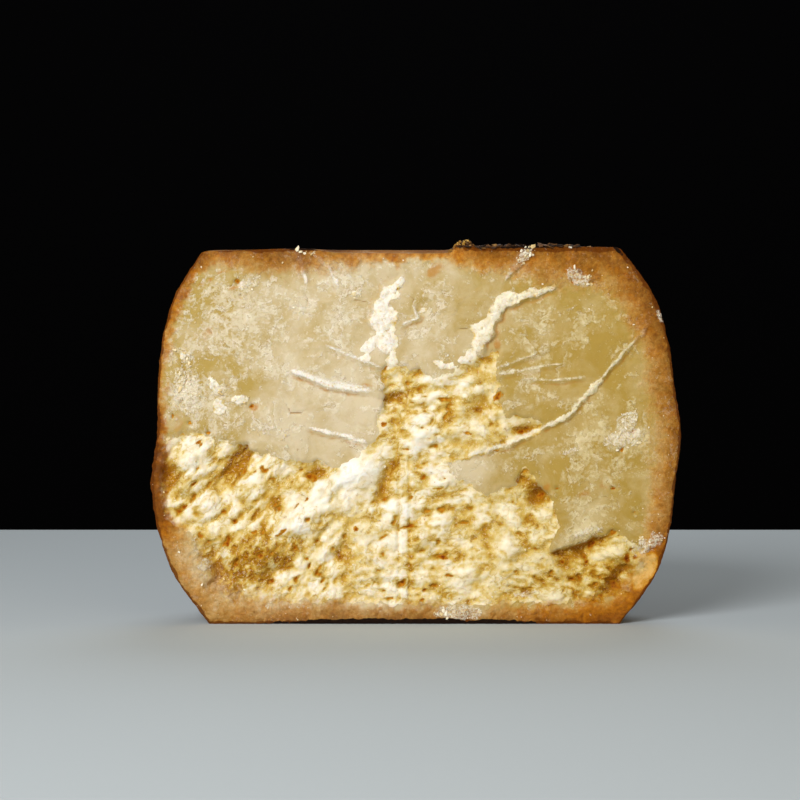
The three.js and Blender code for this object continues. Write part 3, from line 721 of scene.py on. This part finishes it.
# Makes a material out of nodes, with short words for the usual ones. Colours are given as on screen.
class Nodes:
    def __init__(self, name):
        self.material = bpy.data.materials.new(name)
        self.material.use_nodes = True
        self.tree = self.material.node_tree
        self.tree.nodes.clear()

    def node(self, kind, inputs=None, **settings):
        made = self.tree.nodes.new("ShaderNode" + kind)
        for name, value in settings.items():
            setattr(made, name, value)
        for name, value in (inputs or {}).items():
            socket = made.inputs[name]
            if isinstance(value, bpy.types.NodeSocket):
                self.tree.links.new(value, socket)
            else:
                socket.default_value = fromScreen(*value) if socket.type == "RGBA" else value
        return made

    def field(self, name):
        return self.node("Attribute", attribute_name=name).outputs["Fac"]

    def maths(self, operation, first, second, clamp=False):
        return self.node("Math", {0: first, 1: second}, operation=operation, use_clamp=clamp).outputs[0]

    def plus(self, first, *others, clamp=False):
        for other in others:
            first = self.maths("ADD", first, other, clamp)
        return first

    def times(self, first, second, clamp=False):
        return self.maths("MULTIPLY", first, second, clamp)

    def scaled(self, value, factor, offset=0.0):
        return self.node("Math", {0: value, 1: factor, 2: offset}, operation="MULTIPLY_ADD").outputs[0]

    # Noise about size millimetres across.
    def grain(self, size, detail=3, roughness=0.55, warp=0.0):
        place = self.node("TexCoord").outputs["Object"]
        settings = {"Vector": place, "Scale": 1 / (size * mm), "Detail": detail,
                    "Roughness": roughness, "Distortion": warp}
        return self.node("TexNoise", settings).outputs["Fac"]

    def between(self, value, low, high):
        settings = {"Value": value, "From Min": low, "From Max": high}
        return self.node("MapRange", settings, interpolation_type="SMOOTHSTEP").outputs[0]

    # Gives a soft share a sharp, ragged edge.
    def ragged(self, share, size, amount, softness):
        rough = self.scaled(self.grain(size, 4, 0.7), amount, -0.5 * amount)
        return self.between(self.plus(share, rough), 0.5 - softness, 0.5 + softness)

    def mix(self, share, first, second, blend="MIX"):
        settings = {0: share, 6: first, 7: second}
        return self.node("Mix", settings, data_type="RGBA", blend_type=blend).outputs[2]

    def mixValues(self, share, first, second):
        return self.node("Mix", {0: share, 2: first, 3: second}, data_type="FLOAT").outputs[0]

    def cover(self, colour, share, name):
        over, strength = coats[name]
        return self.mix(self.scaled(share, strength), colour, over)

    def ramp(self, value, stops):
        made = self.node("ValToRGB", {"Fac": value})
        elements = made.color_ramp.elements
        while len(elements) < len(stops):
            elements.new(0.5)
        for element, (place, colour) in zip(elements, stops):
            element.position, element.color = place, fromScreen(*colour)
        return made.outputs["Color"]

    def bump(self, height, depth, strength):
        settings = {"Strength": strength, "Distance": depth * mm, "Height": height}
        return self.node("Bump", settings).outputs[0]

    # Ends the material in a shader with these settings.
    def finish(self, settings):
        shader = self.node("BsdfPrincipled", settings)
        self.node("OutputMaterial", {"Surface": shader.outputs[0]})
        return self.material


# Colours as they look on screen, and the finish of each part of the cheese.
paste = {
    "cream": (209, 194, 164),
    "straw": (176, 150, 82),
    "rightTint": (246, 240, 212),
    "crumb": [(0.0, (140, 80, 6)), (0.13, (174, 124, 24)), (0.28, (198, 158, 64)),
              (0.42, (216, 187, 108)), (0.52, (227, 207, 150)), (0.62, (237, 222, 186)),
              (0.75, (247, 237, 215)), (1.0, (255, 253, 245))],
    # Holes: amber at their rim to dark brown in their middle, as painted shade.
    "pit": [(0.5, (204, 152, 48)), (0.68, (186, 122, 22)), (0.86, (156, 86, 10)), (1.0, (120, 52, 4))],
    "brokenEdge": [(0.3, (212, 184, 126)), (0.41, (236, 226, 206)), (0.56, (250, 246, 239))],
    "band": [(0.0, (66, 30, 4)), (0.25, (122, 72, 16)), (0.5, (168, 118, 48)),
             (0.75, (200, 158, 98)), (1.0, (226, 202, 164))],
    "orangeBand": [(0.0, (84, 34, 0)), (0.35, (146, 78, 0)), (0.6, (190, 116, 8)),
                   (0.8, (214, 152, 48)), (1.0, (236, 190, 112))],
    "bandShare": 0.92,
    "rind": [(0.25, (70, 40, 16)), (0.45, (122, 74, 28)), (0.6, (156, 104, 48)), (0.8, (190, 146, 88))],
    "waxyRoughness": 0.44,
    "crumbRoughness": 0.62,
    "dryRoughness": 0.9,
    "rindRoughness": 0.58,
    "gloss": 0.07,
    "glow": 0.2,
    "glowDepth": (1.0, 0.6, 0.2),
    "glowScale": 0.0008,
    "reliefDepth": 0.7,  # mm for a height of 1 in the list below
    "reliefStrength": 0.8,
}
# What lies over the paste, or is painted on it as light and shade: its colour, and how strongly it shows.
coats = {
    "smears": ((228, 219, 198), 0.22), "flecks": ((228, 219, 198), 0.4),
    # The layers' bright ends are a painted highlight, their shadows painted shade.
    "layers": ((243, 237, 222), 0.62), "layerShadows": ((150, 112, 44), 0.45),
    # Painted shade at the feet of steps, together with stains.
    "specks": ((150, 112, 44), 0.5), "shadeAndStains": ((184, 126, 42), 0.7),
    # Pinholes are painted amber as painted shade; the glints are painted highlights.
    "pinholes": ((180, 118, 26), 0.5), "paintedGlints": ((255, 252, 242), 0.25),
    "bandFlecks": ((216, 192, 164), 0.35), "bandSpecks": ((104, 52, 4), 0.6),
    "edge": ((104, 52, 4), 0.85), "chalk": ((240, 230, 210), 1), "crack": ((184, 126, 42), 0.6),
    "dark": ((34, 20, 12), 1), "bloom": ((216, 192, 164), 0.4),
}
# How high things stand in the relief that is finer than the mesh.
heights = {
    "grain": 2.0, "waves": 0.4, "flecks": 0.08, "layers": 0.2, "white": 0.08, "dust": 0.06,
    "hole": -0.5, "crack": -0.5, "pinholes": -0.35,
}


def makeCheeseMaterial():
    n = Nodes("cheese")
    shadeAndTone, pit, skin = n.field("shadeAndTone"), n.field("pit"), n.field("skin")
    torn = n.ragged(n.field("torn"), 1.6, 0.9, 0.07)
    white = n.ragged(n.field("white"), 0.8, 0.85, 0.2)
    chalk = n.ragged(n.field("chalk"), 1.3, 2.2, 0.25)
    band = n.ragged(n.field("band"), 1.8, 0.9, 0.46)
    hole = n.ragged(pit, 0.8, 0.8, 0.08)

    # Knife facets: cream and straw in soft clouds, with sharp pale smears, flecks and a few dark specks.
    tone = n.plus(n.field("ripe"), n.scaled(n.grain(13, 5, 0.62, 0.4), 2.6, -1.3), clamp=True)
    facet = n.mix(tone, paste["cream"], paste["straw"])
    clusters = n.plus(n.scaled(n.grain(9, 4, 0.6), 1.2, -0.75), n.scaled(n.field("flaky"), 0.3))
    smears = n.between(n.plus(n.grain(3.4, 6, 0.7, 0.2), n.scaled(clusters, 0.5)), 0.48, 0.6)
    facet = n.cover(facet, smears, "smears")
    flecks = n.between(n.plus(n.grain(1.4, 4, 0.7), n.scaled(clusters, 0.5)), 0.54, 0.575)
    facet = n.cover(facet, flecks, "flecks")
    # Thin layers that end in a bright edge, here and there, painted as a highlight with a painted shadow
    # past it.
    layers = n.plus(n.scaled(n.grain(10, 7, 0.62, 0.4), 7), n.scaled(n.grain(1.0), 0.3))
    layers = n.maths("FRACT", layers, 0)
    shown = n.between(n.plus(n.grain(4.5, 4), n.scaled(clusters, 0.6)), 0.46, 0.54)
    facet = n.cover(facet, n.times(n.maths("POWER", layers, 4), shown), "layers")
    facet = n.cover(facet, n.times(n.between(layers, 0.12, 0.0), shown), "layerShadows")
    specks = n.between(n.grain(1.7, 5, 0.8, 0.5), 0.63, 0.68)
    facet = n.cover(facet, specks, "specks")
    # Painted shade at the feet of the steps, together with the stains.
    facet = n.cover(facet, n.ragged(n.field("shadeAndStains"), 2.2, 1.0, 0.3), "shadeAndStains")

    # Crumb: soft pale bodies that end in crisp ledges: painted highlight on each edge, painted amber
    # shade under it.
    fine = n.grain(0.9, 4, 0.75)
    layer = n.maths("FRACT", n.plus(n.field("ledge"), n.scaled(fine, 0.9, -0.45)), 0)
    rise = n.maths("POWER", layer, 0.4)
    broken = n.scaled(n.between(n.grain(5, 3), 0.42, 0.58), 0.3)
    height = n.plus(n.scaled(shadeAndTone, 0.42, 0.52), n.times(n.scaled(rise, 1, -0.7), broken),
                    n.scaled(fine, 0.24, -0.12))
    crumb = n.ramp(height, paste["crumb"])
    # Pinholes: tiny holes painted amber, as painted shade.
    lowest = n.plus(n.scaled(n.grain(1.3, 3, 0.6), -1, 1), n.scaled(shadeAndTone, -0.07))
    pinholes = n.times(n.between(lowest, 0.655, 0.69), torn)
    crumb = n.cover(crumb, pinholes, "pinholes")
    # Painted glints: tiny white highlights, a few more on the ledges' bright edges.
    paintedGlints = n.between(n.plus(n.grain(0.8, 3, 0.7), n.scaled(rise, 0.06)), 0.61, 0.64)
    crumb = n.cover(crumb, paintedGlints, "paintedGlints")
    colour = n.mix(torn, facet, crumb)
    colour = n.mix(white, colour, n.ramp(n.grain(1.1, 4, 0.8), paste["brokenEdge"]))
    # Holes painted amber at the rim to dark brown in the middle, as painted shade inside them.
    colour = n.mix(hole, colour, n.ramp(n.plus(pit, n.scaled(n.grain(1.1), 0.5, -0.25)), paste["pit"]))

    # The right of the cut is painted warmer and darker: partly riper paste, partly painted shade for
    # light falling off.
    across = n.node("SeparateXYZ", {0: n.node("TexCoord").outputs["Object"]}).outputs[0]
    warm = n.mix(1.0, colour, paste["rightTint"], "MULTIPLY")
    colour = n.mix(n.between(across, -0.01, 0.07), colour, warm)

    # Rim of the cut: a granular band that is tan, brown or orange by turns, and a thin brown edge.
    uneven = n.scaled(n.grain(1.1, 5, 0.75), 0.65, -0.33)
    uneven = n.plus(uneven, n.scaled(n.grain(6, 6, 0.7, 0.5), 0.7, -0.35))
    bandTone = n.plus(n.field("tone"), uneven, clamp=True)
    plain, orange = n.ramp(bandTone, paste["band"]), n.ramp(bandTone, paste["orangeBand"])
    patches = n.plus(n.field("orange"), n.scaled(n.grain(4.5, 5, 0.65, 0.4), 2.4, -1.2), clamp=True)
    colour = n.mix(n.scaled(band, paste["bandShare"]), colour, n.mix(patches, plain, orange))
    pale = n.times(flecks, n.times(band, n.scaled(patches, -1, 1)))
    colour = n.cover(colour, pale, "bandFlecks")
    colour = n.cover(colour, n.times(specks, band), "bandSpecks")
    colour = n.cover(colour, n.ragged(n.field("edge"), 1.4, 1.0, 0.2), "edge")

    dustSpecks = n.between(n.grain(0.9, 4, 0.75), 0.42, 0.56)
    dust = n.times(chalk, n.scaled(dustSpecks, 0.75, 0.1), clamp=True)
    colour = n.cover(colour, dust, "chalk")
    crack = n.between(n.field("crack"), 0.35, 0.6)
    colour = n.cover(colour, crack, "crack")
    colour = n.cover(colour, n.ragged(n.field("dark"), 1.3, 0.9, 0.15), "dark")

    # Rind: mottled brown with a dry bloom.
    rind = n.ramp(n.grain(22, 6, 0.62, 0.5), paste["rind"])
    rind = n.cover(rind, n.between(n.grain(7, 5, 0.65), 0.5, 0.78), "bloom")
    colour = n.mix(skin, colour, rind)

    roughness = n.mixValues(torn, paste["waxyRoughness"], paste["crumbRoughness"])
    roughness = n.mixValues(dust, roughness, paste["dryRoughness"])
    roughness = n.mixValues(skin, roughness, paste["rindRoughness"])

    # Fine relief: grain of the crumb, chalk, rim and rind, then ledges, layers, flecks and holes.
    grainy = n.maths("MAXIMUM", n.scaled(torn, 0.2), n.scaled(white, 0.28))
    grainy = n.plus(grainy, n.scaled(n.maths("MAXIMUM", band, skin), 0.6), clamp=True)
    grainy = n.plus(grainy, n.scaled(chalk, 0.25, 0.08), clamp=True)
    total = n.times(n.scaled(n.grain(0.9, 5, 0.8), heights["grain"]), grainy)
    total = n.plus(total, n.times(n.times(rise, broken), torn))
    total = n.plus(total, n.times(n.scaled(layers, heights["layers"]), shown))
    parts = {"waves": n.grain(3.5, 5, 0.65), "flecks": flecks, "white": white, "dust": dust,
             "hole": hole, "crack": crack, "pinholes": pinholes}
    for name, part in parts.items():
        total = n.plus(total, n.scaled(part, heights[name]))

    return n.finish({
        "Base Color": colour, "Roughness": roughness,
        "Normal": n.bump(total, paste["reliefDepth"], paste["reliefStrength"]),
        "Subsurface Weight": paste["glow"], "Subsurface Radius": paste["glowDepth"],
        "Subsurface Scale": paste["glowScale"], "IOR": 1.45, "Specular IOR Level": paste["gloss"],
    })


# Loose grains: sizes in mm across, the spread of the crushing, and how flat and how tilted they lie.
paleCrumbs = {
    "count": 600, "sizes": (0.35, 0.9), "crushed": 0.22, "flat": (0.4, 0.9), "tilt": 2.0, "seed": 21,
    "roughness": 0.9,
    "colours": [(0.0, (214, 192, 140)), (0.5, (234, 220, 184)), (1.0, (250, 246, 232))],
}
crustFlakes = {
    "count": 320, "sizes": (0.8, 3.0), "crushed": 0.3, "flat": (0.15, 0.4), "tilt": 0.3, "seed": 22,
    "roughness": 0.7,
    "colours": [(0.0, (26, 17, 11)), (0.55, (60, 38, 20)), (0.8, (108, 70, 30)), (1.0, (160, 120, 66))],
    "heaps": [19, 24, 31, 45, 47, 53],  # where along the top edge they lie thickest
    "heapWidth": 3,
    "depth": 6,  # how far back from the cut they reach
}
scrapCrumbs = {
    "count": 150, "sizes": (0.6, 1.7), "crushed": 0.25, "flat": (0.5, 1.0), "tilt": 2.0, "seed": 23,
    "roughness": 0.75,
    "colours": [(0.0, (40, 24, 10)), (0.4, (110, 72, 18)), (0.75, (168, 122, 36)), (1.0, (206, 170, 86))],
    "depth": 2.4,
}
# Larger pale scraps: (x, z, spread across, spread up, how many).
paleScraps = {
    "sizes": (0.6, 1.9), "crushed": 0.3, "flat": (0.35, 0.8), "tilt": 2.0, "seed": 24,
    "roughness": 0.85,
    "colours": [(0.0, (208, 180, 122)), (0.5, (232, 216, 176)), (1.0, (246, 240, 222))],
    "places": [(37.6, 124.8, 1.6, 1.8, 16), (35, 122, 1.2, 1.4, 8), (-77.7, 90, 0.9, 0.8, 5),
               (-66, 79, 1.4, 0.8, 6), (-58.5, 75.3, 1.5, 0.8, 6), (-19.6, 112.4, 0.7, 1.1, 5),
               (-40, 126.8, 0.7, 0.4, 4), (-37, 125.6, 2.5, 0.5, 5), (52, 127.2, 1.2, 0.3, 3),
               (-79, 84, 2, 6, 12), (56, 117, 4, 2.4, 14), (71, 64, 5, 3.4, 18), (77, 28, 4, 2, 14),
               (15, 4, 6, 1.4, 20)],
}


def makeGrainMaterial(name, grains):
    n = Nodes(name)
    value = n.plus(n.field("luck"), n.scaled(n.grain(0.7, 3), 0.5, -0.25), clamp=True)
    return n.finish({"Base Color": n.ramp(value, grains["colours"]), "Roughness": grains["roughness"],
                     "Normal": n.bump(n.grain(0.4, 3), 0.2, 0.6)})


def addObject(name, data):
    made = bpy.data.objects.new(name, data)
    bpy.context.scene.collection.objects.link(made)
    return made


# Joins many crushed, turned grains, one at each place, into one mesh.
def makeGrains(name, grains, places):
    random = np.random.default_rng(grains["seed"])
    ball = bmesh.new()
    bmesh.ops.create_icosphere(ball, subdivisions=1, radius=0.5)
    shape = np.array([tuple(v.co) for v in ball.verts])
    shapeFaces = np.array([[v.index for v in face.verts] for face in ball.faces])
    ball.free()
    count, corners = len(places), len(shape)
    small, large = grains["sizes"]
    size = small + (large - small) * random.random((count, 1, 1)) ** 2.5
    stretch = np.stack([random.uniform(0.8, 1.5, count), random.uniform(0.7, 1.1, count),
                        random.uniform(*grains["flat"], count)], 1)[:, None]
    crushed = shape * (1 + grains["crushed"] * random.normal(0, 1, (count, corners, 1)).clip(-2, 2))
    up = np.array([0, 0, 1]) + grains["tilt"] * random.normal(size=(count, 3))
    up /= np.linalg.norm(up, axis=1)[:, None]
    side = np.cross(up, random.normal(size=(count, 3)))
    side /= np.linalg.norm(side, axis=1)[:, None]
    turns = np.stack([side, np.cross(up, side), up], 2)
    points = np.einsum("nij,nkj->nki", turns, crushed * stretch * size) + places[:, None]
    faces = (shapeFaces[None] + corners * np.arange(count)[:, None, None]).reshape(-1, 3)

    mesh = bpy.data.meshes.new(name)
    mesh.from_pydata([tuple(p) for p in (points.reshape(-1, 3) - shift) * mm], [], faces.tolist())
    mesh.update()
    luck = mesh.attributes.new("luck", "FLOAT", "POINT")
    luck.data.foreach_set("value", np.repeat(random.random(count), corners).astype(np.float32))
    cells = math.ceil(math.sqrt(len(faces)))
    cell = np.arange(len(faces))
    corner = np.stack([cell % cells, cell // cells], 1)[:, None]
    corner = corner + [[0.15, 0.15], [0.85, 0.15], [0.15, 0.85]]
    layer = mesh.uv_layers.new(name="OFBake")
    layer.data.foreach_set("uv", (corner / cells).astype(np.float32).ravel())
    mesh.materials.append(makeGrainMaterial(name, grains))
    piece = addObject(name, mesh)
    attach(piece, "root")
    print(name, "ready,", len(faces), "faces")


# Draws places on the cut, thickest where the given field is strong, a little proud of the surface.
def placesOnCut(density, count, seed, proud):
    random = np.random.default_rng(seed)
    cells = random.choice(density.size, count, p=density.ravel() / density.sum())
    row, column = np.divmod(cells, density.shape[1])
    x = relief["left"] + (column + random.random(count)) * relief["step"]
    z = relief["low"] + (row + random.random(count)) * relief["step"]
    raised = z + smooth(z, 0.75 * wheel["height"], wheel["height"]) * topOffset(x)
    return np.stack([x, reliefAt("depth", x, z) - proud, raised], 1)


def makeLooseGrains():
    inside = smooth(rimDistance(gridX, gridZ), 0.6, 1.4)
    density = relief["chalk"] * (1 - 0.6 * relief["torn"]) + 0.3 * relief["white"] ** 2
    density += 0.04 * relief["band"] * relief["tone"] + 0.04 * relief["torn"]
    density = density * inside * (1 - relief["dark"]) * np.clip(1 - relief["pit"], 0, 1)
    makeGrains("paleCrumbs", paleCrumbs, placesOnCut(density, paleCrumbs["count"], 31, 0.1))

    # Dark flakes lie along the top edge, densest at the cut, and small crumbs on the curled scrap.
    random = np.random.default_rng(32)
    count = crustFlakes["count"]
    x = random.choice(crustFlakes["heaps"], count) + random.normal(0, crustFlakes["heapWidth"], count)
    y = 0.3 + crustFlakes["depth"] * random.random(count) ** 2
    z = wheel["height"] + topOffset(x) + crustHeight(x) * np.exp(-y / 0.8) * 0.8
    makeGrains("crustFlakes", crustFlakes, np.stack([x, y, z], 1))

    count = scrapCrumbs["count"]
    x = crust["scrapX"] + random.normal(0, 0.5, count).clip(-1, 1) * crust["scrapHalfWidth"]
    y = 0.6 + scrapCrumbs["depth"] * random.random(count)
    z = wheel["height"] + topOffset(x) + crustHeight(x) * random.random(count) ** 0.5 + 0.4
    makeGrains("scrapCrumbs", scrapCrumbs, np.stack([x, y, z], 1))

    places = np.array(paleScraps["places"], float)
    spots = np.repeat(places[:, :4], places[:, 4].astype(int), 0)
    x, z = (spots[:, :2] + spots[:, 2:] * random.normal(0, 0.7, (len(spots), 2)).clip(-1.4, 1.4)).T
    z = np.minimum(z, wheel["height"] - 0.2)
    raised = z + smooth(z, 95, 127) * topOffset(x)
    makeGrains("paleScraps", paleScraps, np.stack([x, reliefAt("depth", x, z), raised], 1))


studio = {
    "floor": (188, 197, 204),
    "floorEnd": 0.42,  # metres behind the object
    "floorStart": -3.0,
    "backdrop": (3, 3, 4),
    "backdropAt": 1.0,
    "backdropHeight": 3.0,
    "halfWidth": 4.0,
    "pixel": 0.3377,  # millimetres of the cut for each pixel of the picture
    "pictureWidth": 800,
    "cameraX": -15,  # pixels from the middle of the cut
    "cameraHeight": 75.7,
    "lens": 85,
    "sensor": 36,
    "ambient": (240, 228, 206),
    "ambientPower": 0.2,
    "key": {"at": (-0.52, -1.05, 0.6), "size": 0.6, "power": 15.3, "colour": (1.0, 0.985, 0.95)},
    "fill": {"at": (0.5, -1.1, 0.25), "size": 1.0, "power": 3.2, "colour": (1.0, 0.86, 0.62)},
    "back": {"at": (0.1, 0.7, 0.95), "size": 0.7, "power": 4, "colour": (0.95, 0.98, 1.0)},
}


def makePlainMaterial(name, colour):
    n = Nodes(name)
    darker = tuple(0.9 * value for value in colour)
    tone = n.mix(n.scaled(n.grain(2, 4, 0.6), 0.12), colour, darker)
    return n.finish({"Base Color": tone, "Roughness": 0.8, "Specular IOR Level": 0.02})


# A pale floor with a dark backdrop behind it.
def makeFloor():
    start, end, far = studio["floorStart"], studio["floorEnd"], studio["backdropAt"]
    wide, tall = studio["halfWidth"], studio["backdropHeight"]
    sheets = {
        "floor": [(-wide, start, 0), (wide, start, 0), (wide, end, 0), (-wide, end, 0)],
        "backdrop": [(-wide, far, -1), (wide, far, -1), (wide, far, tall), (-wide, far, tall)],
    }
    for name, corners in sheets.items():
        mesh = bpy.data.meshes.new(name)
        mesh.from_pydata(corners, [], [(0, 1, 2, 3)])
        mesh.materials.append(makePlainMaterial(name, studio[name]))
        sheet = addObject(name, mesh)


def addLight(name, aim):
    settings = studio[name]
    lamp = bpy.data.lights.new(name, "AREA")
    lamp.shape, lamp.size = "DISK", settings["size"]
    lamp.energy, lamp.color = settings["power"], settings["colour"]
    lamp = addObject(name, lamp)
    lamp.location = settings["at"]
    lamp.rotation_euler = (aim - lamp.location).to_track_quat("-Z", "Y").to_euler()


relief.update(makeRelief(gridX, gridZ))
print("relief ready")
mesh, points = makeCheeseMesh()
layOutForBaking(mesh, points)

# The solid's own middle is the origin, so the points move by the same amount.
low, high = points.min(0), points.max(0)
shift = np.array([(low[0] + high[0]) / 2, (low[1] + high[1]) / 2, low[2]])
mesh.vertices.foreach_set("co", ((points - shift) * mm).astype(np.float32).ravel())
mesh.polygons.foreach_set("use_smooth", [True] * len(mesh.polygons))
mesh.update()
mesh.materials.append(makeCheeseMaterial())
cheese = addObject("cheese", mesh)
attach(cheese, "root")
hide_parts("cheese_chunk")
print("cheese ready,", len(mesh.polygons), "faces")
makeLooseGrains()

makeFloor()
middle = (solidLow + solidHigh) / 2
for name in ("key", "fill", "back"):
    addLight(name, middle)
world = bpy.data.worlds.new("studio")
bpy.context.scene.world = world
world.use_nodes = True
background = world.node_tree.nodes["Background"]
background.inputs["Color"].default_value = fromScreen(*studio["ambient"])
background.inputs["Strength"].default_value = studio["ambientPower"]

camera = addObject("camera", bpy.data.cameras.new("camera"))
camera.data.lens, camera.data.sensor_width = studio["lens"], studio["sensor"]
away = studio["pictureWidth"] * studio["pixel"] * studio["lens"] / studio["sensor"]
camera.location = ((studio["cameraX"] * studio["pixel"] - shift[0]) * mm, -(away + shift[1]) * mm,
                   studio["cameraHeight"] * mm)
camera.rotation_euler = (math.pi / 2, 0, 0)
bpy.context.scene.camera = camera
bpy.context.scene.view_settings.view_transform = "Standard"
print("studio ready")
